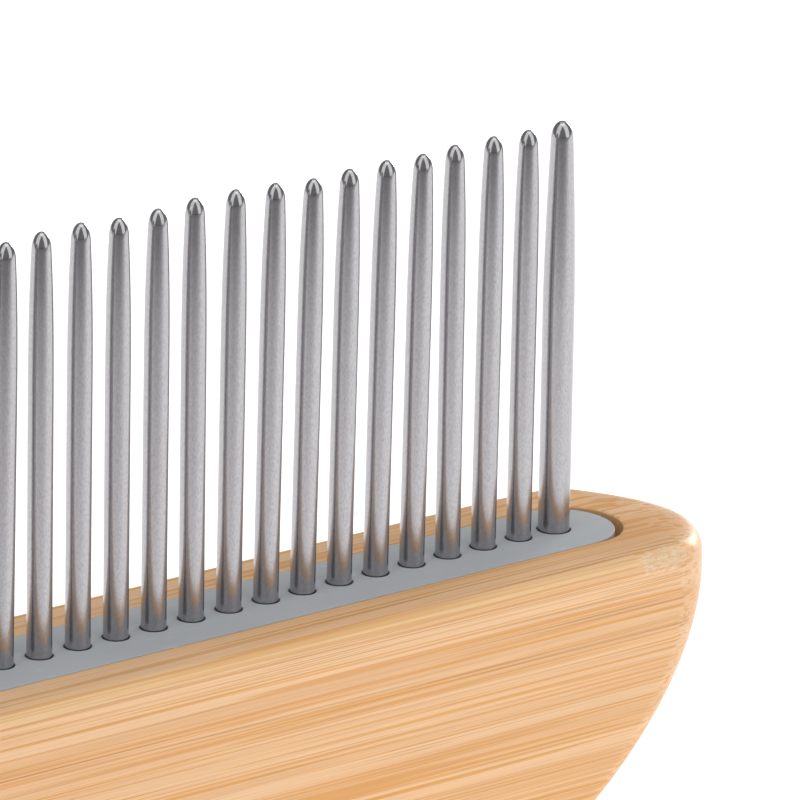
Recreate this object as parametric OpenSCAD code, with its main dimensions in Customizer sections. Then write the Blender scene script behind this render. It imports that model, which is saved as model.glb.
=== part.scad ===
// Grooming comb: freely turning steel pins held by a plastic strip in a one-piece bamboo body.
// X runs along the row of pins, with the toe at +X and the grip at -X. Y is the thickness.
// The pins point up, the straight spine lies on z = 0, and the body is centred on x = 0, y = 0.

/* [Body] */
// Overall length, from the tip of the toe to the end of the grip
body_len = 205; // [165:1:260]
// Depth of the head, from the spine to the face that the pins stand on
body_depth = 26.5; // [22:0.5:34]
// Thickness of the board that the body is cut from
body_thick = 15.2; // [12.6:0.2:20]
// Radius of the eased edges along the head
head_edge_r = 1.2; // [0.6:0.1:2.5]

/* [Toe] */
// Distance from the toe's tip to the axis of the first pin
toe_overhang = 11.1; // [9:0.1:16]
// Depth of the toe's tip below the head's face
toe_drop = 2.5; // [2.1:0.1:6]
// Length of the rounded corner between the head's face and the tip
toe_corner_len = 7.5; // [6.5:0.5:9]
// Squareness of that corner, where 2 is an ellipse
toe_corner_power = 3.2; // [2:0.1:4.5]
// Length over which the toe's lower edge sweeps back to the spine
toe_sweep_len = 37; // [28:1:45]
// Fullness of the sweep, where 2 is an ellipse and less is straighter
toe_sweep_power = 1.65; // [1.5:0.05:2.2]
// Amount by which the tip is rounded back at the two side faces
toe_crown = 5.2; // [1:0.1:5.2]
// Flatness of that rounding across the thickness, where 2 is a parabola
toe_crown_power = 1.9; // [1.6:0.1:4]
// Amount of the same rounding where the sweep meets the spine
toe_crown_low = 1.7; // [0:0.1:3]
// Radius of the eased edges around the toe
toe_edge_r = 1.5; // [0.6:0.1:2]

/* [Grip] */
// Depth of the finger dip between the head and the palm
dip_depth = 4; // [0:0.5:6]
// Length of the level palm between the finger dip and the grip's round end
palm_len = 24; // [10:1:40]
// Radius of the edges along the grip
grip_edge_r = 4.5; // [2:0.5:6]
// Length of the rounding at the end of the grip
heel_len = 13; // [10:1:20]
// Height of the furthest point of the grip's end above the spine
heel_height = 13; // [9:0.5:16]
// Amount by which the grip's end is rounded back at the side faces
heel_crown = 5; // [1:0.5:5]

/* [Pin strip] */
// Width of the plastic strip
strip_width = 7.25; // [6:0.25:9]
// Thickness of the plastic strip
strip_thick = 5; // [4:0.5:7]
// Distance from the end pin's axis to the centre of the strip's round end
strip_margin = 0.55; // [0.5:0.05:2]
// Gap left in the pocket at each end of the strip
pocket_end_gap = 0.65; // [0.2:0.05:1]
// Gap between the strip and each side wall of the pocket
pocket_side_gap = 0.05; // [0:0.01:0.1]

/* [Pins] */
// Number of pins, both end pins included
pin_count = 31; // [11:2:31]
// Distance between the axes of neighbouring pins
pin_pitch = 3; // [2.5:0.1:3.6]
// Length of pin that stands above the strip
pin_height = 28; // [20:1:36]
// Diameter of a pin's straight shank
pin_d = 1.65; // [1.2:0.05:2]
// Length over which a pin narrows to its tip
pin_taper_len = 12.4; // [6:0.2:14]
// Share of the shank's radius lost over the taper
pin_taper = 0.3; // [0.1:0.01:0.45]
// Shape of the taper, where 1 is straight and 2 a parabola
pin_taper_power = 3; // [1:0.1:4]
// Height of the rounded tip
pin_tip_len = 1.2; // [0.4:0.05:1.6]
// Thickness of the flat head that keeps a pin in the strip
pin_head_t = 1; // [0.6:0.1:1.5]
// Gap between the heads of neighbouring pins
pin_head_gap = 0.7; // [0.5:0.05:0.7]

/* [End pins] */
// Diameter of the thicker pin at each end of the row
end_pin_d = 2.12; // [1.65:0.01:2.45]
// Length over which an end pin narrows to its tip
end_pin_taper_len = 12.6; // [6:0.2:14]
// Share of the radius lost over an end pin's taper
end_pin_taper = 0.34; // [0.1:0.01:0.45]
// Shape of an end pin's taper
end_pin_taper_power = 1.6; // [1:0.1:4]
// Amount by which an end pin's head is wider than the others
end_pin_head_extra = 0.4; // [0.3:0.05:0.6]

/* [Fits] */
// Radial clearance that lets a pin turn in the strip
turn_clearance = 0.09; // [0.02:0.01:0.1]
// Play above and below a pin's head
head_play = 0.05; // [0.02:0.01:0.1]

/* [Hidden] */
$fn = 48;
half_thick = body_thick / 2;
toe_x = body_len / 2;
heel_x = -body_len / 2;
toe_z = body_depth - toe_drop;
first_pin_x = toe_x - toe_overhang;
last_pin_x = first_pin_x - (pin_count - 1) * pin_pitch;
strip_r = strip_width / 2;
pocket_r = strip_r + pocket_side_gap;
pocket_margin = strip_margin + pocket_end_gap;
pocket_floor_z = body_depth - strip_thick;
pin_head_d = pin_pitch - pin_head_gap;
toe_corner_centre = [toe_x - toe_corner_len, toe_z];
toe_sweep_centre = [toe_x - toe_sweep_len, toe_z];
heel_centre = [heel_x + heel_len, heel_height];
head_end_x = last_pin_x - pocket_margin - pocket_r;
dip_end_x = heel_centre.x + palm_len;
dip_x = (head_end_x + dip_end_x) / 2;
dip_half_len = (head_end_x - dip_end_x) / 2;
heel_power = 2.2;
heel_crown_power = 2.2;
corner_steps = 10;
line_steps = 30;
layer_steps = 10;
layer_crowding = 2.2;
taper_steps = 9;
tip_steps = 6;
cut_over = 1;
bamboo_colour = "#deb285";
strip_colour = "#a2a5a8";
steel_colour = "#b4b4b8";

function pin_name(i) = str("pin_", i < 10 ? "0" : "", i);

function smooth(t) = t <= 0 ? 0 : t >= 1 ? 1 : t * t * (3 - 2 * t);

// Inward step of an outline at distance y from the board's middle plane, for an edge of radius r
function easing(y, r) =
    let (into = abs(y) - (half_thick - r))
    into <= 0 ? 0 : r - sqrt(max(0, r * r - into * into));

// The edge radius along the straight edges: the toe's, then the head's, then the grip's
function edge_r(x) =
    let (
        to_toe = smooth((x - first_pin_x) / (toe_corner_centre.x - first_pin_x)),
        to_grip = smooth((head_end_x - x) / dip_half_len)
    )
    head_edge_r + (toe_edge_r - head_edge_r) * to_toe + (grip_edge_r - head_edge_r) * to_grip;

// Height of the upper edge: level along the head and the palm, with the finger dip between them
function upper_z(x) =
    let (off = (x - dip_x) / dip_half_len)
    body_depth - (abs(off) < 1 ? dip_depth * (1 + cos(180 * off)) / 2 : 0);

// A point on a quarter of a superellipse, with t running from 0 at its side to 90 at its top
function corner_point(centre, reach, rise, power, t) = [
    centre.x + reach * pow(cos(t), 2 / power),
    centre.y + rise * pow(sin(t), 2 / power)
];

// How far the toe is rounded back at distance y, from the tip at t = 0 to the spine at t = 90
function toe_back(y, t) =
    (toe_crown + (toe_crown_low - toe_crown) * sin(t)) * pow(abs(y) / half_thick, toe_crown_power);

// Reach of the grip's round end at distance y
function heel_reach(y) =
    heel_len - heel_crown * pow(abs(y) / half_thick, heel_crown_power) - easing(y, grip_edge_r);

// Upper half of the outline at distance y, from the toe's tip to the end of the grip
function upper_outline(y) =
    let (ease = easing(y, toe_edge_r), from = toe_corner_centre, to = heel_centre)
    concat(
        [for (i = [0:corner_steps]) corner_point(
            from, toe_corner_len - toe_back(y, 0) - ease, toe_drop - ease,
            toe_corner_power, 90 * i / corner_steps)],
        [for (i = [1:line_steps])
            let (x = from.x + (to.x - from.x) * i / line_steps)
            [x, upper_z(x) - easing(y, edge_r(x))]],
        [for (i = [1:corner_steps]) corner_point(
            to, -heel_reach(y), body_depth - heel_height - easing(y, grip_edge_r),
            heel_power, 90 - 90 * i / corner_steps)]
    );

// Lower half of the outline at distance y, point for point under the upper half
function lower_outline(y) =
    let (ease = easing(y, toe_edge_r), from = toe_sweep_centre, to = heel_centre)
    concat(
        [for (i = [0:corner_steps])
            let (t = 90 * i / corner_steps)
            corner_point(from, toe_sweep_len - toe_back(y, t) - ease, ease - toe_z, toe_sweep_power, t)],
        [for (i = [1:line_steps])
            let (x = from.x + (to.x - from.x) * i / line_steps)
            [x, easing(y, edge_r(x))]],
        [for (i = [1:corner_steps]) corner_point(
            to, -heel_reach(y), easing(y, grip_edge_r) - heel_height,
            heel_power, 90 - 90 * i / corner_steps)]
    );

// The closed outline: the halves share the tip and the grip's end, which are listed once
function outline(y) =
    let (up = upper_outline(y), low = lower_outline(y), n = len(up))
    concat(up, [for (i = [n - 2:-1:1]) low[i]]);

// The board's shape: outlines stacked through its thickness, close together near the side faces
module board() {
    side = [for (i = [0:layer_steps]) half_thick * (1 - pow(1 - i / layer_steps, layer_crowding))];
    layers = concat([for (i = [layer_steps:-1:1]) -side[i]], side);
    chain = len(upper_outline(0));
    ring = len(outline(0));
    last = (len(layers) - 1) * ring;
    walls = [for (j = [0:len(layers) - 2], i = [0:ring - 1])
        let (a = j * ring + i, b = j * ring + (i + 1) % ring)
        each [[a, b, b + ring], [a, b + ring, a + ring]]];
    // A side face is a ladder between the upper points and the lower ones beneath them
    side_face = [for (i = [0:chain - 2])
        let (low = (ring - i) % ring, next_low = ring - i - 1)
        each i == 0 ? [[0, next_low, 1]]
        : i == chain - 2 ? [[i, low, i + 1]]
        : [[i, low, next_low], [i, next_low, i + 1]]];
    polyhedron(
        points = [for (y = layers, p = outline(y)) [p.x, y, p.y]],
        faces = concat(walls, side_face, [for (f = side_face) [last + f[0], last + f[2], last + f[1]]])
    );
}

// A bar with two half-round ends, from one end's centre to the other's, standing on z = 0
module round_ended_bar(x_from, x_to, r, height) {
    translate([x_from, -r, 0]) cube([x_to - x_from, 2 * r, height]);
    for (x = [x_from, x_to]) translate([x, 0, 0]) cylinder(r = r, h = height);
}

function pin_x(i) = first_pin_x - (i - 1) * pin_pitch;
function is_end(i) = i == 1 || i == pin_count;
function shank_r(i) = (is_end(i) ? end_pin_d : pin_d) / 2;
function head_r(i) = (is_end(i) ? pin_head_d + end_pin_head_extra : pin_head_d) / 2;

// One-piece bamboo body: head and grip, with the pocket that the strip is glued into
module bamboo_body() {
    color(bamboo_colour) difference() {
        board();
        translate([0, 0, pocket_floor_z]) round_ended_bar(
            last_pin_x - pocket_margin, first_pin_x + pocket_margin, pocket_r, strip_thick + cut_over);
    }
}

// Plastic strip: a bore for each pin, opened out underneath for the pin's head
module pin_strip() {
    color(strip_colour) difference() {
        translate([0, 0, pocket_floor_z]) round_ended_bar(
            last_pin_x - strip_margin, first_pin_x + strip_margin, strip_r, strip_thick);
        for (i = [1:pin_count]) translate([pin_x(i), 0, pocket_floor_z - cut_over]) {
            cylinder(r = shank_r(i) + turn_clearance, h = strip_thick + 2 * cut_over);
            cylinder(r = head_r(i) + turn_clearance, h = cut_over + pin_head_t + 2 * head_play);
        }
    }
}

// Radius of a pin at a distance s below its apex
function taper_r(s, r, len, share, power) = r * (1 - share * pow(1 - min(s, len) / len, power));

// A turned pin standing on the pocket's floor: head, shank, long taper and rounded tip
module pin_shape(r, head_r, taper_len, share, power) {
    apex_z = strip_thick + pin_height;
    tip_r = taper_r(pin_tip_len, r, taper_len, share, power);
    head_top = head_play + pin_head_t;
    rotate_extrude() polygon(concat(
        [[0, head_play], [head_r, head_play], [head_r, head_top], [r, head_top]],
        [for (k = [taper_steps:-1:0])
            let (s = pin_tip_len + (taper_len - pin_tip_len) * k / taper_steps)
            [taper_r(s, r, taper_len, share, power), apex_z - s]],
        [for (k = [1:tip_steps])
            let (t = 90 * k / tip_steps)
            [k == tip_steps ? 0 : tip_r * cos(t), apex_z - pin_tip_len * (1 - sin(t))]]
    ));
}

// One pin of the row, counted from the toe
module pin(i) {
    color(steel_colour) translate([pin_x(i), 0, pocket_floor_z])
        if (is_end(i))
            pin_shape(shank_r(i), head_r(i), end_pin_taper_len, end_pin_taper, end_pin_taper_power);
        else
            pin_shape(shank_r(i), head_r(i), pin_taper_len, pin_taper, pin_taper_power);
}

bamboo_body();
pin_strip();
for (i = [1:pin_count]) pin(i);
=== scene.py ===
"""A bamboo grooming comb with freely turning steel pins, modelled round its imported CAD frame."""

import math
import random

import bmesh
import bpy
from mathutils import Matrix, Quaternion, Vector


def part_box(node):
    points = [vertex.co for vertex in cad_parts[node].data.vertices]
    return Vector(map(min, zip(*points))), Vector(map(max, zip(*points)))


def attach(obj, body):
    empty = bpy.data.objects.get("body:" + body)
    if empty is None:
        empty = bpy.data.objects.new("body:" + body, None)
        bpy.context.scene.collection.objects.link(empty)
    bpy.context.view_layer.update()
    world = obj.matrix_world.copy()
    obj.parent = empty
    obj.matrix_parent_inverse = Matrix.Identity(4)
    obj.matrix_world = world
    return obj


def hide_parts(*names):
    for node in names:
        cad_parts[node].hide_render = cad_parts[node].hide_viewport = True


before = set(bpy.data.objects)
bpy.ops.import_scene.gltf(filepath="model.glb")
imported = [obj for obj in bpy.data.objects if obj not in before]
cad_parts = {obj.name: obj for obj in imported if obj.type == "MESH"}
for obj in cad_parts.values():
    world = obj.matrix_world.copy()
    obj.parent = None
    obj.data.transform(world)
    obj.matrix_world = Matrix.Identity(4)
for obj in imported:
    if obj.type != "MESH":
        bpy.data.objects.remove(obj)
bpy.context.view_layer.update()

bl_info = {
    "name": "Bamboo Pin Comb",
    "version": (1, 0, 0),
    "blender": (4, 5, 0),
    "location": "View3D > Sidebar > Comb",
    "description": "Models a bamboo grooming comb with turning steel pins, and a studio stage for it",
    "category": "Add Mesh",
}

MM = 0.001
BODY_LOW, BODY_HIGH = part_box("bamboo_body")
STRIP_LOW, STRIP_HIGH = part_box("pin_strip")
PINS = sorted(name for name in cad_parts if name.startswith("pin_") and name != "pin_strip")
# Rings down a pin's taper, and the angles of the rings on its rounded tip
TAPER_RINGS = 22
TIP_ANGLES = (10, 20, 30, 40, 50, 60, 68, 75, 81, 86)
# Faces that meet at less than this angle are shaded as one smooth surface
BOARD_SMOOTH_ANGLE = math.radians(32)
PIN_SMOOTH_ANGLE = math.radians(40)
# Sockets of the Mix node for colours, which share their names with its number and vector forms
MIX_FACTOR = 0
MIX_BELOW = 6
MIX_ABOVE = 7
MIX_RESULT = 2


def pin_axis(name):
    """The x of a pin's axis, from its CAD node."""
    low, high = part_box(name)
    return (low[0] + high[0]) / 2


# ---------------------------------------------------------------- settings


def length(label, text, default):
    """A length in metres that the panel shows in the scene's units."""
    return bpy.props.FloatProperty(
        name=label, description=text, default=default, min=0.0, unit="LENGTH", precision=5
    )


def plain(label, text, default):
    """A number without a unit."""
    return bpy.props.FloatProperty(name=label, description=text, default=default)


def triple(label, text, values):
    """A point, or half lengths, in metres along X, Y and Z."""
    return bpy.props.FloatVectorProperty(
        name=label, description=text, default=values, subtype="TRANSLATION", unit="LENGTH"
    )


def colour(label, text, hex_value):
    """A colour that the panel shows as a swatch."""
    return bpy.props.FloatVectorProperty(
        name=label, description=text, default=linear(hex_value)[:3], subtype="COLOR", min=0.0, max=1.0
    )


def linear(hex_value):
    """An sRGB hex colour as the linear colour that shaders take."""
    channels = [int(hex_value[i : i + 2], 16) / 255 for i in (1, 3, 5)]
    return tuple(c / 12.92 if c <= 0.04045 else ((c + 0.055) / 1.055) ** 2.4 for c in channels) + (1.0,)


class CombBodySettings(bpy.types.PropertyGroup):
    """Shape of the bamboo body, as the CAD board has it."""

    head_edge: length("Head Edge", "Radius of the eased edges along the head", 1.2 * MM)
    toe_edge: length("Toe Edge", "Radius of the eased edges round the toe", 1.5 * MM)
    grip_edge: length("Grip Edge", "Radius of the edges along the grip", 4.5 * MM)
    toe_drop: length("Toe Drop", "Depth of the toe's tip below the head's face", 2.5 * MM)
    corner_len: length("Corner Length", "Length of the toe's upper corner", 7.5 * MM)
    corner_power: plain("Corner Squareness", "2 is an ellipse, more is squarer", 3.2)
    sweep_len: length("Sweep Length", "Length of the toe's lower sweep", 37 * MM)
    sweep_power: plain("Sweep Fullness", "2 is an ellipse, less is straighter", 1.65)
    crown: length("Toe Crown", "How far the tip is rounded back at the side faces", 5.2 * MM)
    crown_low: length("Low Crown", "The same where the sweep meets the spine", 1.7 * MM)
    crown_power: plain("Crown Flatness", "2 is a parabola across the thickness", 1.9)
    dip_depth: length("Finger Dip", "Depth of the dip between head and palm", 4 * MM)
    palm_len: length("Palm Length", "Level length behind the finger dip", 24 * MM)
    heel_len: length("Heel Length", "Length of the rounding at the grip's end", 13 * MM)
    heel_height: length("Heel Height", "Height of the grip's furthest point", 13 * MM)
    heel_crown: length("Heel Crown", "How far the grip's end is rounded back", 5 * MM)
    heel_power: plain("Heel Squareness", "2 is an ellipse, more is squarer", 2.2)
    pocket_gap: length("Pocket Gap", "Gap between the strip and the pocket's end", 0.65 * MM)
    pocket_side: length("Pocket Side", "Gap between the strip and the pocket's side", 0.04 * MM)
    rim_bevel: length("Rim Bevel", "Softening of the pocket's rim", 0.14 * MM)
    fibre_light: colour("Light Fibre", "Pale tissue between the fibre bundles", "#f3c799")
    fibre_mid: colour("Middle Fibre", "Body of the bamboo", "#e9b682")
    fibre_dark: colour("Dark Fibre", "Fibre bundles that took up the heat of pressing", "#dd9438")
    fibre_thread: colour("Thread", "Thin yellow threads between the bundles", "#e0a048")
    fibre_line: colour("Strand", "Single dark strands", "#ad7030")
    # Painted highlight: the eased edges are coloured lighter, partly for the paler sanded bamboo
    arris_highlight: colour("Arris", "Sanded edges, where more light gets under the varnish", "#fbd49a")
    rub_colour: colour("Rubbed Colour", "Bare bamboo where the varnish is gone", "#f6e6cf")
    rub_place: triple("Rubbed Place", "Middle of the rubbed spot", (94.7 * MM, -7.3 * MM, 25.8 * MM))
    rub_size: triple("Rubbed Size", "Half lengths of the rubbed spot", (2.6 * MM, 1.2 * MM, 1.0 * MM))


class CombStripSettings(bpy.types.PropertyGroup):
    """Shape and colour of the plastic strip."""

    edge: length("Edge", "Radius of the strip's upper edge", 0.05 * MM)
    bore_gap: length("Bore Gap", "Gap round a pin at the strip's face", 0.11 * MM)
    head_gap: length("Head Gap", "Gap round a pin's head", 0.09 * MM)
    head_play: length("Head Play", "Gap above a pin's head", 0.05 * MM)
    bore_sides: bpy.props.IntProperty(name="Bore Sides", description="Sides of a bore", default=48, min=24)
    plastic: colour("Plastic", "Grey of the moulded plastic", "#bcc0c3")


class CombPinSettings(bpy.types.PropertyGroup):
    """Shape and finish of the turning pins."""

    sides: bpy.props.IntProperty(name="Sides", description="Sides of a pin's section", default=56, min=24)
    lean: bpy.props.FloatProperty(
        name="Lean", description="Largest lean that the bore's clearance gives", default=math.radians(0.45),
        subtype="ANGLE",
    )
    length_play: length("Length Play", "How much longer or shorter than the rest a pin may be", 0.14 * MM)
    seed: bpy.props.IntProperty(name="Seed", description="Seed of the leans and lengths", default=29838)
    head_t: length("Head Thickness", "Thickness of the head inside the strip", 1 * MM)
    taper_len: length("Taper Length", "Length over which a pin narrows", 12.4 * MM)
    taper: plain("Taper", "Share of its radius that a pin loses before the tip", 0.3)
    taper_power: plain("Taper Curve", "1 is a straight cone, more is rounder", 3.0)
    end_taper_len: length("End Taper Length", "The same for the thicker end pins", 12.6 * MM)
    end_taper: plain("End Taper", "Share of its radius that an end pin loses", 0.34)
    end_taper_power: plain("End Taper Curve", "1 is a straight cone, more is rounder", 1.6)
    tip_len: length("Tip Length", "Height of the rounded tip", 1.2 * MM)
    satin: plain("Satin", "Roughness of the shank", 0.22)
    polish: plain("Polish", "Roughness of the tip", 0.16)
    steel: colour("Steel", "Stainless steel seen face on", "#b3b1b4")


class CombStageSettings(bpy.types.PropertyGroup):
    """Camera and lights."""

    azimuth: bpy.props.FloatProperty(
        name="Azimuth", description="Direction of the camera round the comb", default=math.radians(-38.88),
        subtype="ANGLE",
    )
    elevation: bpy.props.FloatProperty(
        name="Elevation", description="Height of the camera as an angle", default=math.radians(18.75),
        subtype="ANGLE",
    )
    roll: bpy.props.FloatProperty(
        name="Roll", description="Turn of the camera about its own axis", default=math.radians(1.51),
        subtype="ANGLE",
    )
    distance: length("Distance", "From the camera to what it looks at", 534.4 * MM)
    aim_back: length("Aim Back", "How far behind the first pin the camera aims", 13.33 * MM)
    aim_up: length("Aim Up", "How far above the strip the camera aims", 11.53 * MM)
    lens: bpy.props.FloatProperty(
        name="Lens", description="Focal length in millimetres on a 36 mm sensor", default=371.8
    )
    floor: colour("Floor", "Opal acrylic that the comb stands on", "#c4c4c4")
    # Painted shade: the front of the sheet is coloured darker where the lamps beneath don't reach
    floor_front_shade: colour("Floor Front", "The acrylic beyond the lamps, in front of the comb", "#a2a2a2")
    glow: plain("Glow", "Light that the table gives behind the comb", 0.85)
    glow_from: length("Glow Front", "How far in front of the comb's middle the glow ends", 160 * MM)
    glow_to: length("Glow Back", "How far in front of the comb's middle the glow is full", 20 * MM)
    room: plain("Room", "Light from the walls of the room", 0.26)
    right_watts: plain("Right Watts", "Power of the softbox on the right", 3.55)
    left_watts: plain("Left Watts", "Power of the softbox on the left", 3.0)
    top_watts: plain("Top Watts", "Power of the softbox overhead", 1.3)
    glint_watts: plain("Glint Watts", "Power of the small light behind the toe", 3.3)


# ---------------------------------------------------------------- small tools


def deselect_all():
    """Nothing selected, in object mode."""
    if bpy.context.object and bpy.context.object.mode != "OBJECT":
        bpy.ops.object.mode_set(mode="OBJECT")
    bpy.ops.object.select_all(action="DESELECT")


def make_active(piece):
    """Only this piece selected, and active."""
    deselect_all()
    piece.select_set(True)
    bpy.context.view_layer.objects.active = piece


def apply_modifier(piece, kind, **values):
    """Adds a modifier with its settings and applies it."""
    make_active(piece)
    modifier = piece.modifiers.new(kind.title(), kind)
    for key, value in values.items():
        setattr(modifier, key, value)
    bpy.ops.object.modifier_apply(modifier=modifier.name)


def apply_place(piece):
    """The piece's place, turn and scale go into its mesh."""
    make_active(piece)
    bpy.ops.object.transform_apply(location=True, rotation=True, scale=True)


def pick_edges(piece, wanted):
    """In edit mode, selects the edges whose two ends both pass the test."""
    make_active(piece)
    bpy.ops.object.mode_set(mode="EDIT")
    bpy.ops.mesh.select_mode(type="EDGE")
    bpy.ops.mesh.select_all(action="DESELECT")
    shape = bmesh.from_edit_mesh(piece.data)
    for edge in shape.edges:
        edge.select = all(wanted(vertex.co) for vertex in edge.verts)
    shape.select_flush_mode()
    bmesh.update_edit_mesh(piece.data)


def smooth_step(t):
    """0 below 0, 1 above 1, and an even curve between them."""
    t = min(max(t, 0.0), 1.0)
    return t * t * (3 - 2 * t)


def round_ended_bar(name, low, high, sides):
    """A bar with half-round ends along X: a cylinder whose two halves are pulled apart."""
    radius = (high[1] - low[1]) / 2
    centre = [(a + b) / 2 for a, b in zip(low, high)]
    deselect_all()
    bpy.ops.mesh.primitive_cylinder_add(
        vertices=sides, radius=radius, depth=high[2] - low[2], location=centre,
        rotation=(0, 0, math.pi / sides),
    )
    bar = bpy.context.object
    bar.name = name
    apply_place(bar)
    pull = (high[0] - low[0]) / 2 - radius
    for side in (-1, 1):
        bpy.ops.object.mode_set(mode="EDIT")
        bpy.ops.mesh.select_mode(type="VERT")
        bpy.ops.mesh.select_all(action="DESELECT")
        shape = bmesh.from_edit_mesh(bar.data)
        for vertex in shape.verts:
            vertex.select = side * (vertex.co.x - centre[0]) > 0
        shape.select_flush_mode()
        bmesh.update_edit_mesh(bar.data)
        bpy.ops.transform.translate(value=(side * pull, 0, 0))
        bpy.ops.object.mode_set(mode="OBJECT")
    return bar


def finish_piece(piece, body, nodes, material):
    """Gives a piece its material, its body and the CAD nodes that it stands for."""
    piece.data.materials.clear()
    piece.data.materials.append(material)
    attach(piece, body)
    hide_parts(*nodes)


def add_node(tree, kind, inputs=None, **settings):
    """Adds a shader node with its settings. Each input is a value, or the output socket that feeds it."""
    node = tree.nodes.new("ShaderNode" + kind)
    for key, value in settings.items():
        setattr(node, key, value)
    for key, value in (inputs or {}).items():
        if isinstance(value, bpy.types.NodeSocket):
            tree.links.new(value, node.inputs[key])
        else:
            node.inputs[key].default_value = value
    return node


def new_material(name):
    """An empty material: its tree, its shader and the outputs of its coordinates."""
    material = bpy.data.materials.new(name)
    material.use_nodes = True
    tree = material.node_tree
    tree.nodes.clear()
    shader = add_node(tree, "BsdfPrincipled")
    add_node(tree, "OutputMaterial", {"Surface": shader.outputs[0]})
    coords = add_node(tree, "TexCoord").outputs
    return material, tree, shader, coords


def blobs(*size_mm):
    """The Mapping scale that makes a noise's blobs this long in millimetres along X, Y and Z."""
    return [1 / (size * MM) for size in size_mm]


def shaded(rgb, factor=1.0):
    """A colour with alpha for a node's socket, made lighter or darker by a factor."""
    return (*(min(channel * factor, 1.0) for channel in rgb), 1.0)


# ---------------------------------------------------------------- materials


def varnished_bamboo(settings):
    """Pressed bamboo, sanded and sealed with satin varnish: straight fibre streaks under a soft sheen."""
    material, tree, shader, coords = new_material("varnished_bamboo")
    light = shaded(settings.fibre_light)
    mid = shaded(settings.fibre_mid)

    # Strips of bamboo side by side give slow changes of tone, a few millimetres across
    at = add_node(tree, "Mapping", {"Vector": coords["Object"], "Scale": blobs(140, 4, 1.6)}).outputs[0]
    lamella = add_node(tree, "TexNoise", {"Vector": at, "Scale": 1.0, "Detail": 2.0}).outputs[0]
    share = add_node(tree, "MapRange", {"Value": lamella, "From Min": 0.38, "From Max": 0.62}).outputs[0]
    tone = add_node(
        tree, "Mix", {MIX_FACTOR: share, MIX_BELOW: light, MIX_ABOVE: mid}, data_type="RGBA"
    ).outputs[MIX_RESULT]

    # Bundles of fibres, a third of a millimetre wide and a few centimetres long, took up the press's heat
    at = add_node(
        tree, "Mapping",
        {"Vector": coords["Object"], "Scale": blobs(46, 0.45, 0.22), "Location": (0, 3.7, 1.3)},
    ).outputs[0]
    bundles = add_node(tree, "TexNoise", {"Vector": at, "Scale": 1.0, "Detail": 2.0}).outputs[0]
    # More of them lie towards the spine, which was the outer wall of the stem
    height = add_node(tree, "SeparateXYZ", {"Vector": coords["Object"]}).outputs["Z"]
    outer = add_node(
        tree, "MapRange",
        {"Value": height, "From Min": 4 * MM, "From Max": 22 * MM, "To Min": 0.05, "To Max": 0.0},
    ).outputs[0]
    crowded = add_node(tree, "Math", {0: bundles, 1: outer}, operation="ADD").outputs[0]
    share = add_node(
        tree, "MapRange", {"Value": crowded, "From Min": 0.535, "From Max": 0.585, "To Max": 0.6}
    ).outputs[0]
    streaked = add_node(
        tree, "Mix", {MIX_FACTOR: share, MIX_BELOW: tone, MIX_ABOVE: shaded(settings.fibre_dark)},
        data_type="RGBA",
    ).outputs[MIX_RESULT]

    # Yellow threads, an eighth of a millimetre wide, lie about a millimetre apart
    at = add_node(
        tree, "Mapping",
        {"Vector": coords["Object"], "Scale": blobs(60, 0.3, 0.13), "Location": (4.6, 1.9, 7.7)},
    ).outputs[0]
    threads = add_node(tree, "TexNoise", {"Vector": at, "Scale": 1.0, "Detail": 1.0}).outputs[0]
    share = add_node(
        tree, "MapRange", {"Value": threads, "From Min": 0.62, "From Max": 0.65, "To Max": 0.8}
    ).outputs[0]
    threaded = add_node(
        tree, "Mix", {MIX_FACTOR: share, MIX_BELOW: streaked, MIX_ABOVE: shaded(settings.fibre_thread)},
        data_type="RGBA",
    ).outputs[MIX_RESULT]

    # A few single dark strands run like pencil lines
    at = add_node(
        tree, "Mapping",
        {"Vector": coords["Object"], "Scale": blobs(60, 0.3, 0.15), "Location": (2.1, 9.3, 4.4)},
    ).outputs[0]
    strands = add_node(tree, "TexNoise", {"Vector": at, "Scale": 1.0, "Detail": 1.0}).outputs[0]
    share = add_node(
        tree, "MapRange", {"Value": strands, "From Min": 0.65, "From Max": 0.69, "To Max": 0.5}
    ).outputs[0]
    lined = add_node(
        tree, "Mix", {MIX_FACTOR: share, MIX_BELOW: threaded, MIX_ABOVE: shaded(settings.fibre_line)},
        data_type="RGBA",
    ).outputs[MIX_RESULT]

    # Finer fibres break the streaks up
    at = add_node(
        tree, "Mapping",
        {"Vector": coords["Object"], "Scale": blobs(9, 0.14, 0.1), "Location": (5.1, 0, 2.2)},
    ).outputs[0]
    fibres = add_node(tree, "TexNoise", {"Vector": at, "Scale": 1.0, "Detail": 2.0}).outputs[0]
    shade = add_node(
        tree, "MapRange",
        {"Value": fibres, "From Min": 0.3, "From Max": 0.7, "To Min": 0.92, "To Max": 1.05},
    ).outputs[0]
    grey = add_node(tree, "CombineColor", {"Red": shade, "Green": shade, "Blue": shade}).outputs[0]
    sanded = add_node(
        tree, "Mix", {MIX_FACTOR: 1.0, MIX_BELOW: lined, MIX_ABOVE: grey},
        data_type="RGBA", blend_type="MULTIPLY",
    ).outputs[MIX_RESULT]

    # Fibres cut across at the rounded toe and heel show as an even end grain
    turned = add_node(tree, "VectorMath", {0: coords["Normal"]}, operation="ABSOLUTE").outputs[0]
    facing = add_node(tree, "SeparateXYZ", {"Vector": turned}).outputs
    share = add_node(
        tree, "MapRange", {"Value": facing["X"], "From Min": 0.25, "From Max": 0.7, "To Max": 0.75}
    ).outputs[0]
    end_grain = shaded(settings.fibre_mid, 1.04)
    ends = add_node(
        tree, "Mix", {MIX_FACTOR: share, MIX_BELOW: sanded, MIX_ABOVE: end_grain}, data_type="RGBA"
    ).outputs[MIX_RESULT]
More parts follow.
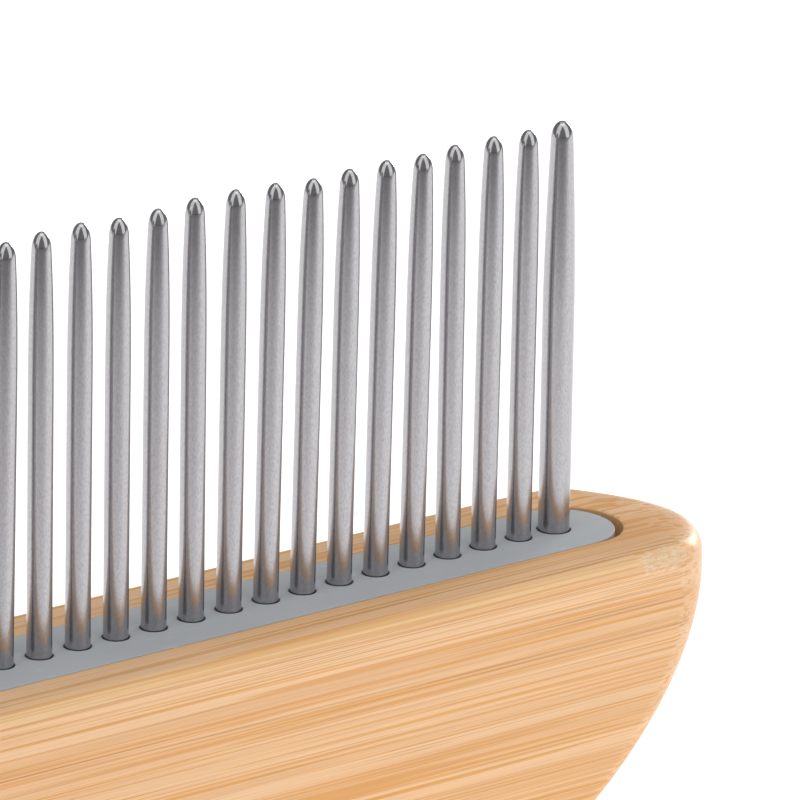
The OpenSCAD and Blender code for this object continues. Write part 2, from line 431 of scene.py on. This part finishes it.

    # The middle of each eased edge faces neither way, and is painted a little lighter and yellower:
    # a painted highlight along the edge, partly the paler colour of the sanded bamboo
    corner = add_node(tree, "Math", {0: facing["Y"], 1: facing["Z"]}, operation="MULTIPLY").outputs[0]
    share = add_node(
        tree, "MapRange", {"Value": corner, "From Min": 0.3, "From Max": 0.48, "To Max": 0.42}
    ).outputs[0]
    highlit_edges = add_node(
        tree, "Mix", {MIX_FACTOR: share, MIX_BELOW: ends, MIX_ABOVE: shaded(settings.arris_highlight)},
        data_type="RGBA",
    ).outputs[MIX_RESULT]

    # A rubbed spot on the toe's front edge, two or three millimetres long, where the varnish has crumbled
    offset = add_node(
        tree, "VectorMath", {0: coords["Object"], 1: settings.rub_place}, operation="SUBTRACT"
    ).outputs[0]
    scaled = add_node(tree, "VectorMath", {0: offset, 1: settings.rub_size}, operation="DIVIDE").outputs[0]
    reach = add_node(tree, "VectorMath", {0: scaled}, operation="LENGTH").outputs["Value"]
    at = add_node(tree, "Mapping", {"Vector": coords["Object"], "Scale": blobs(0.5, 0.2, 0.13)}).outputs[0]
    crumbs = add_node(
        tree, "TexNoise", {"Vector": at, "Scale": 1.0, "Detail": 3.0, "Roughness": 0.7}
    ).outputs[0]
    patch = add_node(tree, "Math", {0: crumbs, 1: reach}, operation="SUBTRACT").outputs[0]
    rubbed = add_node(
        tree, "MapRange", {"Value": patch, "From Min": -0.45, "From Max": -0.1, "To Max": 0.55}
    ).outputs[0]
    share = add_node(tree, "MapRange", {"Value": crumbs, "From Min": 0.4, "From Max": 0.6}).outputs[0]
    bare = add_node(
        tree, "Mix", {MIX_FACTOR: share, MIX_BELOW: mid, MIX_ABOVE: shaded(settings.rub_colour)},
        data_type="RGBA",
    ).outputs[MIX_RESULT]
    final = add_node(
        tree, "Mix", {MIX_FACTOR: rubbed, MIX_BELOW: highlit_edges, MIX_ABOVE: bare}, data_type="RGBA"
    ).outputs[MIX_RESULT]
    tree.links.new(final, shader.inputs["Base Color"])

    # The varnish fills the fibres, so their relief is a few microns
    bump = add_node(tree, "Bump", {"Height": fibres, "Strength": 0.2, "Distance": 0.01 * MM}).outputs[0]
    chips = add_node(
        tree, "Bump", {"Height": crumbs, "Strength": rubbed, "Distance": 0.08 * MM, "Normal": bump}
    ).outputs[0]
    tree.links.new(chips, shader.inputs["Normal"])
    gloss = add_node(
        tree, "MapRange",
        {"Value": fibres, "From Min": 0.3, "From Max": 0.7, "To Min": 0.46, "To Max": 0.58},
    ).outputs[0]
    tree.links.new(gloss, shader.inputs["Roughness"])
    shader.inputs["IOR"].default_value = 1.5
    shader.inputs["Coat Weight"].default_value = 0.22
    shader.inputs["Coat Roughness"].default_value = 0.16
    return material


def moulded_plastic(settings):
    """Grey plastic, moulded with a fine matte texture: even, soft, with faint pale scuffs."""
    material, tree, shader, coords = new_material("moulded_plastic")
    # The grey clouds a little over a few millimetres
    at = add_node(tree, "Mapping", {"Vector": coords["Object"], "Scale": blobs(9, 3, 3)}).outputs[0]
    cloud = add_node(tree, "TexNoise", {"Vector": at, "Scale": 1.0, "Detail": 3.0}).outputs[0]
    share = add_node(tree, "MapRange", {"Value": cloud, "From Min": 0.35, "From Max": 0.65}).outputs[0]
    clouded = add_node(
        tree, "Mix",
        {MIX_FACTOR: share, MIX_BELOW: shaded(settings.plastic, 0.93), MIX_ABOVE: shaded(settings.plastic)},
        data_type="RGBA",
    ).outputs[MIX_RESULT]

    # Pins wear the face beside their bores: pale marks about a millimetre long
    at = add_node(
        tree, "Mapping",
        {"Vector": coords["Object"], "Scale": blobs(1.6, 0.35, 1.0), "Location": (2.3, 0.4, 0)},
    ).outputs[0]
    marks = add_node(
        tree, "TexNoise", {"Vector": at, "Scale": 1.0, "Detail": 3.0, "Roughness": 0.7}
    ).outputs[0]
    share = add_node(
        tree, "MapRange", {"Value": marks, "From Min": 0.62, "From Max": 0.74, "To Max": 0.6}
    ).outputs[0]
    worn = add_node(
        tree, "Mix", {MIX_FACTOR: share, MIX_BELOW: clouded, MIX_ABOVE: shaded(settings.plastic, 1.3)},
        data_type="RGBA",
    ).outputs[MIX_RESULT]
    tree.links.new(worn, shader.inputs["Base Color"])

    # Mould texture, 0.08 mm from dimple to dimple
    at = add_node(tree, "Mapping", {"Vector": coords["Object"], "Scale": blobs(0.08, 0.08, 0.08)}).outputs[0]
    dimples = add_node(tree, "TexNoise", {"Vector": at, "Scale": 1.0, "Detail": 1.0}).outputs[0]
    bump = add_node(tree, "Bump", {"Height": dimples, "Strength": 0.25, "Distance": 0.01 * MM}).outputs[0]
    tree.links.new(bump, shader.inputs["Normal"])
    shader.inputs["Roughness"].default_value = 0.55
    shader.inputs["IOR"].default_value = 1.5
    return material


def satin_steel(settings):
    """Stainless steel, centreless ground and tumbled: satin along the shank, polished towards the tip."""
    material, tree, shader, coords = new_material("satin_steel")
    # Tumbling leaves soft pits a tenth of a millimetre apart, drawn out a little along the pin
    at = add_node(tree, "Mapping", {"Vector": coords["Object"], "Scale": blobs(0.1, 0.1, 0.22)}).outputs[0]
    pits = add_node(tree, "TexNoise", {"Vector": at, "Scale": 1.0, "Detail": 2.0}).outputs[0]
    share = add_node(tree, "MapRange", {"Value": pits, "From Min": 0.35, "From Max": 0.6}).outputs[0]
    tone = add_node(
        tree, "Mix",
        {MIX_FACTOR: share, MIX_BELOW: shaded(settings.steel, 0.86), MIX_ABOVE: shaded(settings.steel)},
        data_type="RGBA",
    ).outputs[MIX_RESULT]
    tree.links.new(tone, shader.inputs["Base Color"])
    shader.inputs["Metallic"].default_value = 1.0

    # The last few millimetres are polished, so that the tip slides over the skin
    height = add_node(tree, "SeparateXYZ", {"Vector": coords["Object"]}).outputs["Z"]
    top = max(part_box(name)[1][2] for name in PINS)
    polish = add_node(
        tree, "MapRange",
        {
            "Value": height, "From Min": top - 6 * MM, "From Max": top - 1 * MM,
            "To Min": settings.satin, "To Max": settings.polish,
        },
    ).outputs[0]
    tree.links.new(polish, shader.inputs["Roughness"])
    bump = add_node(tree, "Bump", {"Height": pits, "Strength": 0.15, "Distance": 0.004 * MM}).outputs[0]
    tree.links.new(bump, shader.inputs["Normal"])
    return material


def opal_acrylic(settings):
    """Opal acrylic lit from beneath: an even white that falls off, with painted shade, to the table's front.
    """
    material, tree, shader, coords = new_material("opal_acrylic")
    # The lamps lie behind the comb, so the glow falls off from back to front
    depth = add_node(
        tree, "VectorMath", {0: coords["Object"], 1: direction(settings.azimuth, 0)},
        operation="DOT_PRODUCT",
    ).outputs["Value"]
    share = add_node(
        tree, "MapRange",
        {"Value": depth, "From Min": settings.glow_from, "From Max": settings.glow_to},
    ).outputs[0]
    glow = add_node(tree, "Math", {0: share, 1: settings.glow}, operation="MULTIPLY").outputs[0]
    tree.links.new(glow, shader.inputs["Emission Strength"])
    # Painted shade: the sheet's own colour is also made darker towards the front
    floor_with_shade = add_node(
        tree, "Mix",
        {MIX_FACTOR: share, MIX_BELOW: shaded(settings.floor_front_shade), MIX_ABOVE: shaded(settings.floor)},
        data_type="RGBA",
    ).outputs[MIX_RESULT]

    # The sheet clouds by a hundredth over a few centimetres
    at = add_node(tree, "Mapping", {"Vector": coords["Object"], "Scale": blobs(60, 60, 60)}).outputs[0]
    cloud = add_node(tree, "TexNoise", {"Vector": at, "Scale": 1.0, "Detail": 1.0}).outputs[0]
    value = add_node(tree, "MapRange", {"Value": cloud, "To Min": 0.99, "To Max": 1.01}).outputs[0]
    clouded = add_node(tree, "HueSaturation", {"Value": value, "Color": floor_with_shade}).outputs[0]
    tree.links.new(clouded, shader.inputs["Base Color"])
    shader.inputs["Roughness"].default_value = 0.9
    shader.inputs["Specular IOR Level"].default_value = 0.1
    shader.inputs["Emission Color"].default_value = (1, 1, 1, 1)
    return material


# ---------------------------------------------------------------- bamboo body


def corner_point(centre, reach, rise, power, t):
    """A point on a quarter of a superellipse, from its side at t = 0 to its top at t = 1."""
    angle = t * math.pi / 2
    across = max(math.cos(angle), 0.0) ** (2 / power)
    up = max(math.sin(angle), 0.0) ** (2 / power)
    return centre[0] + reach * across, centre[1] + rise * up


class Board:
    """The board's outline at any distance from its middle plane, by the same rules as the CAD board."""

    corner_steps = 24
    line_steps = 60
    # The CAD pocket's side gap, which moves the end of the head with it
    side_gap = 0.05 * MM

    def __init__(self, settings):
        self.s = settings
        self.half = (BODY_HIGH[1] - BODY_LOW[1]) / 2
        self.depth = BODY_HIGH[2]
        self.toe_x = BODY_HIGH[0]
        self.heel = (BODY_LOW[0] + settings.heel_len, settings.heel_height)
        self.corner = (self.toe_x - settings.corner_len, self.depth - settings.toe_drop)
        self.sweep = (self.toe_x - settings.sweep_len, self.depth - settings.toe_drop)
        self.first_pin = pin_axis(PINS[0])
        self.head_end = STRIP_LOW[0] - settings.pocket_gap - self.side_gap
        dip_end = self.heel[0] + settings.palm_len
        self.dip_x = (self.head_end + dip_end) / 2
        self.dip_half = (self.head_end - dip_end) / 2

    def easing(self, y, radius):
        """Inward step at distance y for an edge of this radius."""
        into = abs(y) - (self.half - radius)
        if into <= 0:
            return 0.0
        return radius - math.sqrt(max(radius * radius - into * into, 0.0))

    def edge_radius(self, x):
        """The toe's radius, then the head's, then the grip's."""
        s = self.s
        to_toe = smooth_step((x - self.first_pin) / (self.corner[0] - self.first_pin))
        to_grip = smooth_step((self.head_end - x) / self.dip_half)
        return s.head_edge + (s.toe_edge - s.head_edge) * to_toe + (s.grip_edge - s.head_edge) * to_grip

    def upper_z(self, x):
        """Height of the upper edge, with the finger dip."""
        off = (x - self.dip_x) / self.dip_half
        if abs(off) >= 1:
            return self.depth
        return self.depth - self.s.dip_depth * (1 + math.cos(math.pi * off)) / 2

    def outline(self, y):
        """The closed outline at distance y, from the tip over the top to the heel and back underneath."""
        s = self.s
        share = (abs(y) / self.half) ** s.crown_power
        ease = self.easing(y, s.toe_edge)
        grip_ease = self.easing(y, s.grip_edge)
        heel_reach = s.heel_len - s.heel_crown * (abs(y) / self.half) ** s.heel_power - grip_ease
        steps = range(self.corner_steps + 1)
        points = [
            corner_point(
                self.corner, s.corner_len - s.crown * share - ease, s.toe_drop - ease, s.corner_power,
                i / self.corner_steps,
            )
            for i in steps
        ]
        for i in range(1, self.line_steps + 1):
            x = self.corner[0] + (self.heel[0] - self.corner[0]) * i / self.line_steps
            points.append((x, self.upper_z(x) - self.easing(y, self.edge_radius(x))))
        points += [
            corner_point(
                self.heel, -heel_reach, self.depth - s.heel_height - grip_ease, s.heel_power,
                1 - i / self.corner_steps,
            )
            for i in steps[1:]
        ]
        points += [
            corner_point(
                self.heel, -heel_reach, grip_ease - s.heel_height, s.heel_power, i / self.corner_steps
            )
            for i in steps[1:]
        ]
        for i in range(1, self.line_steps + 1):
            x = self.heel[0] + (self.sweep[0] - self.heel[0]) * i / self.line_steps
            points.append((x, self.easing(y, self.edge_radius(x))))
        for i in steps[1:-1]:
            t = 1 - i / self.corner_steps
            back = (s.crown + (s.crown_low - s.crown) * math.sin(t * math.pi / 2)) * share
            points.append(
                corner_point(
                    self.sweep, s.sweep_len - back - ease, ease - self.sweep[1], s.sweep_power, t
                )
            )
        return points


class COMB_OT_bamboo_body(bpy.types.Operator):
    """Model the bamboo body with its pocket"""

    bl_idname = "comb.bamboo_body"
    bl_label = "Bamboo Body"

    half_rows = 18
    crowding = 2.2
    pocket_sides = 128
    rim_tolerance = 0.01 * MM
    level_tolerance = 0.005 * MM
    shortest_edge = 0.04 * MM

    def execute(self, context):
        settings = context.scene.comb_body
        board = Board(settings)
        # Distances of the outlines from the middle plane, crowded towards the side faces
        rows = self.half_rows
        side = [board.half * (1 - (1 - i / rows) ** self.crowding) for i in range(rows + 1)]
        layers = [-y for y in side[:0:-1]] + side
        ring = len(board.outline(0))
        # A grid is the start: its rows become the outlines, and its seam is closed afterwards
        deselect_all()
        bpy.ops.mesh.primitive_grid_add(x_subdivisions=ring, y_subdivisions=len(layers) - 1, size=1)
        piece = context.object
        piece.name = "body_bamboo"
        for row, y in enumerate(layers):
            outline = board.outline(y)
            for column in range(ring + 1):
                x, z = outline[column % ring]
                piece.data.vertices[row * (ring + 1) + column].co = (x, y, z)
        piece.data.update()
        make_active(piece)
        bpy.ops.object.mode_set(mode="EDIT")
        bpy.ops.mesh.select_all(action="SELECT")
        bpy.ops.mesh.remove_doubles(threshold=1e-7)
        # The two open rims are closed by the flat side faces
        bpy.ops.mesh.select_all(action="DESELECT")
        bpy.ops.mesh.select_mode(type="EDGE")
        bpy.ops.mesh.select_non_manifold(extend=False)
        bpy.ops.mesh.edge_face_add()
        bpy.ops.mesh.select_all(action="SELECT")
        bpy.ops.mesh.normals_make_consistent(inside=False)
        bpy.ops.object.mode_set(mode="OBJECT")
        self.cut_pocket(piece, settings)
        make_active(piece)
        bpy.ops.object.shade_smooth_by_angle(angle=BOARD_SMOOTH_ANGLE)
        apply_modifier(piece, "WEIGHTED_NORMAL", mode="FACE_AREA", keep_sharp=True)
        finish_piece(piece, "comb_body", ["bamboo_body"], varnished_bamboo(settings))
        return {"FINISHED"}

    def cut_pocket(self, piece, settings):
        """Cuts the pocket that holds the strip, and softens its rim."""
        side = settings.pocket_side
        gap = settings.pocket_gap
        low = (STRIP_LOW[0] - gap - side, STRIP_LOW[1] - side, STRIP_LOW[2])
        high = (STRIP_HIGH[0] + gap + side, STRIP_HIGH[1] + side, STRIP_HIGH[2] + 1 * MM)
        cutter = round_ended_bar("pocket_cutter", low, high, self.pocket_sides)
        apply_modifier(piece, "BOOLEAN", operation="DIFFERENCE", solver="EXACT", object=cutter)
        bpy.data.objects.remove(cutter)
        slack = self.rim_tolerance

        def on_rim(place):
            along = low[0] - slack < place.x < high[0] + slack
            level = abs(place.z - STRIP_HIGH[2]) < self.level_tolerance
            return along and level and abs(place.y) < high[1] + slack

        pick_edges(piece, on_rim)
        # Short edges, where the rim crosses the board's rows, would turn the bevel over
        bpy.ops.mesh.remove_doubles(threshold=self.shortest_edge)
        bpy.ops.mesh.bevel(offset=settings.rim_bevel, segments=2)
        bpy.ops.object.mode_set(mode="OBJECT")


# ---------------------------------------------------------------- pin strip


class COMB_OT_pin_strip(bpy.types.Operator):
    """Model the plastic strip with a bore for each pin"""

    bl_idname = "comb.pin_strip"
    bl_label = "Pin Strip"

    end_sides = 128
    edge_segments = 3
    level_tolerance = 0.01 * MM

    def execute(self, context):
        settings = context.scene.comb_strip
        piece = round_ended_bar("strip_plastic", STRIP_LOW, STRIP_HIGH, self.end_sides)
        pick_edges(piece, lambda place: abs(place.z - STRIP_HIGH[2]) < self.level_tolerance)
        bpy.ops.mesh.bevel(offset=settings.edge, segments=self.edge_segments)
        bpy.ops.object.mode_set(mode="OBJECT")
        cutter = self.bores(settings)
        apply_modifier(piece, "BOOLEAN", operation="DIFFERENCE", solver="EXACT", object=cutter)
        bpy.data.objects.remove(cutter)
        make_active(piece)
        bpy.ops.object.shade_smooth_by_angle(angle=BOARD_SMOOTH_ANGLE)
        apply_modifier(piece, "WEIGHTED_NORMAL", mode="FACE_AREA", keep_sharp=True)
        finish_piece(piece, "comb_body", ["pin_strip"], moulded_plastic(settings))
        return {"FINISHED"}

    def bores(self, settings):
        """One cutter with all the bores, each wider below for the pin's head."""
        masters = {
            end: self.stepped_bore(next(n for n in PINS if is_end(n) == end), settings)
            for end in (True, False)
        }
        made = []
        for name in PINS:
            cutter = masters[is_end(name)].copy()
            cutter.data = cutter.data.copy()
            bpy.context.collection.objects.link(cutter)
            cutter.data.transform(Matrix.Translation((pin_axis(name), 0, 0)))
            made.append(cutter)
        for master in masters.values():
            bpy.data.objects.remove(master)
        deselect_all()
        for cutter in made:
            cutter.select_set(True)
        bpy.context.view_layer.objects.active = made[0]
        bpy.ops.object.join()
        return made[0]

    def stepped_bore(self, name, settings):
        """A cutter round the axis x = 0: a wide round for the head, inset and drawn up for the shank."""
        over = 1 * MM
        low = STRIP_LOW[2] - over
        wide = head_radius(name) + settings.head_gap
        narrow = shank_radius(name) + settings.bore_gap
        head_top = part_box(name)[0][2] + bpy.context.scene.comb_pins.head_t + settings.head_play
        deselect_all()
        bpy.ops.mesh.primitive_cylinder_add(
            vertices=settings.bore_sides, radius=wide, depth=head_top - low,
            location=(0, 0, (head_top + low) / 2),
        )
        cutter = bpy.context.object
        apply_place(cutter)
        bpy.ops.object.mode_set(mode="EDIT")
        bpy.ops.mesh.select_mode(type="FACE")
        bpy.ops.mesh.select_all(action="DESELECT")
        shape = bmesh.from_edit_mesh(cutter.data)
        for face in shape.faces:
            face.select = face.normal.z > 0.9
        bmesh.update_edit_mesh(cutter.data)
        bpy.ops.mesh.extrude_region_move(TRANSFORM_OT_translate={"value": (0, 0, 0)})
        bpy.ops.transform.resize(value=(narrow / wide, narrow / wide, 1), center_override=(0, 0, head_top))
        bpy.ops.mesh.extrude_region_move(
            TRANSFORM_OT_translate={"value": (0, 0, STRIP_HIGH[2] + over - head_top)}
        )
        bpy.ops.object.mode_set(mode="OBJECT")
        return cutter


# ---------------------------------------------------------------- pins


def is_end(name):
    """True for the thicker pin at each end of the row."""
    return name in (PINS[0], PINS[-1])


def shank_radius(name):
    """Radius of a pin's shank, read off its CAD node above the strip, where no head is."""
    axis = pin_axis(name)
    spots = [vertex.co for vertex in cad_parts[name].data.vertices]
    return max(math.hypot(spot.x - axis, spot.y) for spot in spots if spot.z > STRIP_HIGH[2])


def head_radius(name):
    """Radius of a pin's head, which is its widest part."""
    low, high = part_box(name)
    return (high[0] - low[0]) / 2


def pin_profile(name, settings):
    """(radius, height) pairs of a pin from its foot to its apex, by the same rules as the CAD pin."""
    low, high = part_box(name)
    radius = shank_radius(name)
    kind = "end_taper" if is_end(name) else "taper"
    share = getattr(settings, kind)
    taper_len = getattr(settings, kind + "_len")
    power = getattr(settings, kind + "_power")
    apex = high[2]
    head = head_radius(name)
    head_top = low[2] + settings.head_t

    def taper(s):
        return radius * (1 - share * (1 - s / taper_len) ** power)

    tip = settings.tip_len
    points = [(head, low[2]), (head, head_top), (radius, head_top), (radius, STRIP_HIGH[2])]
    points += [
        (taper(tip + (taper_len - tip) * k / TAPER_RINGS), apex - tip - (taper_len - tip) * k / TAPER_RINGS)
        for k in range(TAPER_RINGS, -1, -1)
    ]
    # The tip is a half ellipse, and the last ring is small enough to close with a flat cap
    points += [
        (taper(tip) * math.cos(math.radians(angle)), apex - tip * (1 - math.sin(math.radians(angle))))
        for angle in TIP_ANGLES
    ]
    return points


class COMB_OT_pins(bpy.types.Operator):
    """Model the turning pins, each as its own piece on its own body"""

    bl_idname = "comb.pins"
    bl_label = "Turning Pins"

    def execute(self, context):
        settings = context.scene.comb_pins
        steel = satin_steel(settings)
        masters = {
            end: self.turn_pin(next(n for n in PINS if is_end(n) == end), settings)
            for end in (True, False)
        }
        wobble = random.Random(settings.seed)
        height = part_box(PINS[0])[1][2] - STRIP_HIGH[2]
        for name in PINS:
            piece = masters[is_end(name)].copy()
            piece.data = piece.data.copy()
            context.collection.objects.link(piece)
            piece.name = name.replace("pin_", "steel_pin_")
            lean = Quaternion((1, 0, 0), wobble.uniform(-1, 1) * settings.lean)
            lean = lean @ Quaternion((0, 1, 0), wobble.uniform(-1, 1) * settings.lean)
            stretch = 1 + wobble.uniform(-1, 1) * settings.length_play / height
            foot = Matrix.Translation((pin_axis(name), 0, STRIP_HIGH[2]))
            piece.data.transform(foot @ lean.to_matrix().to_4x4() @ Matrix.Diagonal((1, 1, stretch, 1)))
            finish_piece(piece, name, [name], steel)
        for master in masters.values():
            bpy.data.objects.remove(master)
        return {"FINISHED"}

    def turn_pin(self, name, settings):
        """One pin with its foot's axis on the origin and the strip's face at z = 0, grown ring by ring."""
        points = pin_profile(name, settings)
        radius, foot = points[0]
        base = STRIP_HIGH[2]
        deselect_all()
        bpy.ops.mesh.primitive_circle_add(
            vertices=settings.sides, radius=radius, fill_type="NGON", location=(0, 0, foot - base)
        )
        piece = bpy.context.object
        apply_place(piece)
        bpy.ops.object.mode_set(mode="EDIT")
        bpy.ops.mesh.select_all(action="SELECT")
        for (before, z0), (after, z1) in zip(points, points[1:]):
            bpy.ops.mesh.extrude_region_move(TRANSFORM_OT_translate={"value": (0, 0, z1 - z0)})
            if after != before:
                bpy.ops.transform.resize(
                    value=(after / before, after / before, 1), center_override=(0, 0, z1 - base)
                )
        bpy.ops.mesh.select_all(action="SELECT")
        bpy.ops.mesh.normals_make_consistent(inside=False)
        bpy.ops.object.mode_set(mode="OBJECT")
        make_active(piece)
        bpy.ops.object.shade_smooth_by_angle(angle=PIN_SMOOTH_ANGLE)
        return piece


# ---------------------------------------------------------------- stage


def direction(azimuth, elevation):
    """The way from the comb to the side that an azimuth and an elevation name; azimuth 0 is -Y."""
    level = math.cos(elevation)
    return Vector((math.sin(azimuth) * level, -math.cos(azimuth) * level, math.sin(elevation)))


class COMB_OT_stage(bpy.types.Operator):
    """Set out the floor, the soft lights and the camera"""

    bl_idname = "comb.stage"
    bl_label = "Studio Stage"

    floor_size = 8

    def execute(self, context):
        settings = context.scene.comb_stage
        self.place_camera(context, settings)
        deselect_all()
        bpy.ops.mesh.primitive_plane_add(size=self.floor_size, location=(0, 0, 0))
        floor = context.object
        floor.name = "studio_floor"
        floor.data.materials.append(opal_acrylic(settings))
        world = bpy.data.worlds.new("studio_world")
        context.scene.world = world
        world.use_nodes = True
        background = world.node_tree.nodes["Background"]
        background.inputs["Color"].default_value = (1, 1, 1, 1)
        background.inputs["Strength"].default_value = settings.room
        aim = Vector((pin_axis(PINS[0]), 0, STRIP_HIGH[2]))
        # Two tall softboxes flank the camera and reach down to the table, so that the pins mirror them
        self.add_softbox(
            "right_softbox", aim, azimuth=settings.azimuth + math.radians(59), elevation=math.radians(43),
            distance=0.8, width=0.7, height=1.5, watts=settings.right_watts,
        )
        self.add_softbox(
            "left_softbox", aim, azimuth=settings.azimuth - math.radians(51), elevation=math.radians(42),
            distance=0.8, width=0.65, height=1.5, watts=settings.left_watts,
        )
        # A small one behind the toe gives the glint on its corner, and one overhead lights the upper faces
        self.add_softbox(
            "glint_softbox", aim, azimuth=math.radians(114), elevation=math.radians(11),
            distance=1.0, width=0.34, height=0.42, watts=settings.glint_watts,
        )
        self.add_softbox(
            "top_softbox", aim, azimuth=settings.azimuth + math.pi, elevation=math.radians(80),
            distance=0.9, width=0.8, height=0.8, watts=settings.top_watts,
        )
        context.scene.view_settings.view_transform = "Standard"
        return {"FINISHED"}

    def place_camera(self, context, settings):
        """Stands the camera at its azimuth, elevation and distance from the head of the comb."""
        aim = Vector((pin_axis(PINS[0]) - settings.aim_back, 0, STRIP_HIGH[2] + settings.aim_up))
        back = direction(settings.azimuth, settings.elevation)
        data = bpy.data.cameras.new("studio_camera")
        camera = bpy.data.objects.new("studio_camera", data)
        context.collection.objects.link(camera)
        data.lens = settings.lens
        data.sensor_width = 36
        data.clip_start = 0.01
        data.clip_end = 50
        camera.location = aim + back * settings.distance
        turn = (-back).to_track_quat("-Z", "Y") @ Quaternion((0, 0, 1), settings.roll)
        camera.rotation_mode = "QUATERNION"
        camera.rotation_quaternion = turn
        context.scene.camera = camera

    def add_softbox(self, name, aim, azimuth, elevation, distance, width, height, watts):
        """A soft light of a width and height, in metres, that stands off to one side and faces the aim."""
        spot = aim + direction(azimuth, elevation) * distance
        data = bpy.data.lights.new(name, "AREA")
        data.shape = "RECTANGLE"
        data.size = width
        data.size_y = height
        data.energy = watts
        light = bpy.data.objects.new(name, data)
        bpy.context.collection.objects.link(light)
        light.location = spot
        light.rotation_mode = "QUATERNION"
        light.rotation_quaternion = (aim - spot).to_track_quat("-Z", "Y")


# ---------------------------------------------------------------- panel and registration


class COMB_PT_panel(bpy.types.Panel):
    """The comb's pieces and their settings"""

    bl_idname = "COMB_PT_panel"
    bl_label = "Bamboo Pin Comb"
    bl_space_type = "VIEW_3D"
    bl_region_type = "UI"
    bl_category = "Comb"

    def draw(self, context):
        for operator, settings in PIECES:
            box = self.layout.box()
            box.operator(operator.bl_idname)
            group = getattr(context.scene, settings)
            for key in group.__annotations__:
                box.prop(group, key)


PIECES = [
    (COMB_OT_stage, "comb_stage"),
    (COMB_OT_bamboo_body, "comb_body"),
    (COMB_OT_pin_strip, "comb_strip"),
    (COMB_OT_pins, "comb_pins"),
]
SETTINGS = {
    "comb_stage": CombStageSettings,
    "comb_body": CombBodySettings,
    "comb_strip": CombStripSettings,
    "comb_pins": CombPinSettings,
}


def register():
    """Registers the settings, the operators and the panel."""
    for name, group in SETTINGS.items():
        bpy.utils.register_class(group)
        setattr(bpy.types.Scene, name, bpy.props.PointerProperty(type=group))
    for operator, _ in PIECES:
        bpy.utils.register_class(operator)
    bpy.utils.register_class(COMB_PT_panel)


def unregister():
    """Takes the panel, the operators and the settings away again."""
    bpy.utils.unregister_class(COMB_PT_panel)
    for operator, _ in reversed(PIECES):
        bpy.utils.unregister_class(operator)
    for name, group in SETTINGS.items():
        delattr(bpy.types.Scene, name)
        bpy.utils.unregister_class(group)


def main():
    register()
    bpy.ops.comb.stage()
    bpy.ops.comb.bamboo_body()
    bpy.ops.comb.pin_strip()
    bpy.ops.comb.pins()


if __name__ == "__main__":
    main()
